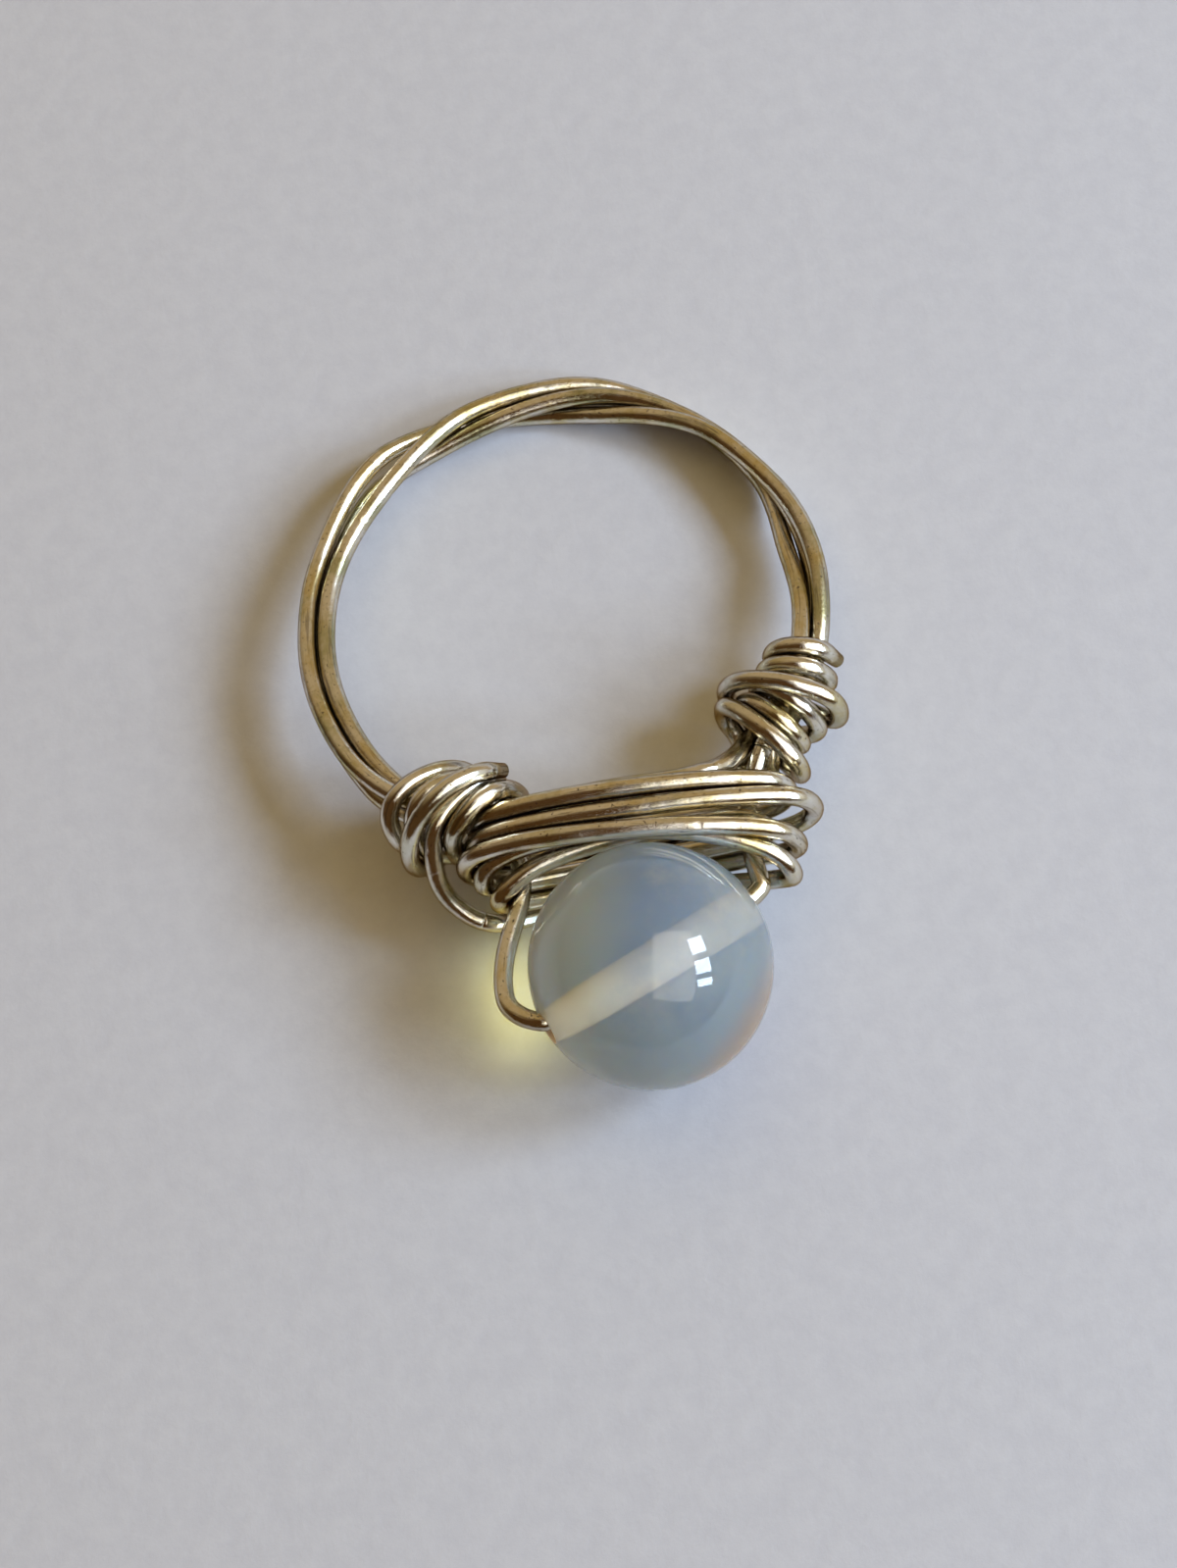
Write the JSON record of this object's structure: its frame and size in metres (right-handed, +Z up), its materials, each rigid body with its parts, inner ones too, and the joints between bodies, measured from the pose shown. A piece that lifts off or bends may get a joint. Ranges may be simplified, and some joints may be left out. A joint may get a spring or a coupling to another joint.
{
  "type": "wire wrapped ring",
  "caption": "Finger ring of round metal wire: a twisted band, a flat coil between wrapped knots, and a drilled glass ball threaded on the wire.",
  "frame": {"origin": "on the surface that the ring lies on, below the middle of its outline", "axes": "+Z up as the ring lies on its side, +Y from the bead to the far side of the band, +X across the finger along the coil"},
  "size_m": [0.0232, 0.0332, 0.01],
  "materials": {
    "band_wire": "polished silver plating, brassy where it is worn, with brown tarnish in the grooves",
    "coil_wire": "polished silver plating with small flattened and scraped marks",
    "wrap_wire": "polished silver plating with kinks from the pliers",
    "opal_glass": "milky blue grey opal glass, polished, that glows warm where light comes through"
  },
  "bodies": {
    "wirework": {"shank_strand_1": "band_wire", "shank_strand_2": "band_wire", "shank_strand_3": "band_wire", "coil": "coil_wire", "left_wrap": "wrap_wire", "right_wrap": "wrap_wire", "bead_wire": "coil_wire"},
    "bead": {"bead": "opal_glass"}
  },
  "joints": [
    {"name": "bead_spin", "type": "hinge", "parent": "wirework", "child": "bead", "pos_m": [0, -0.01155, 0.005], "axis": [0.9266, 0.3144, -0.2061], "continuous": true}
  ]
}
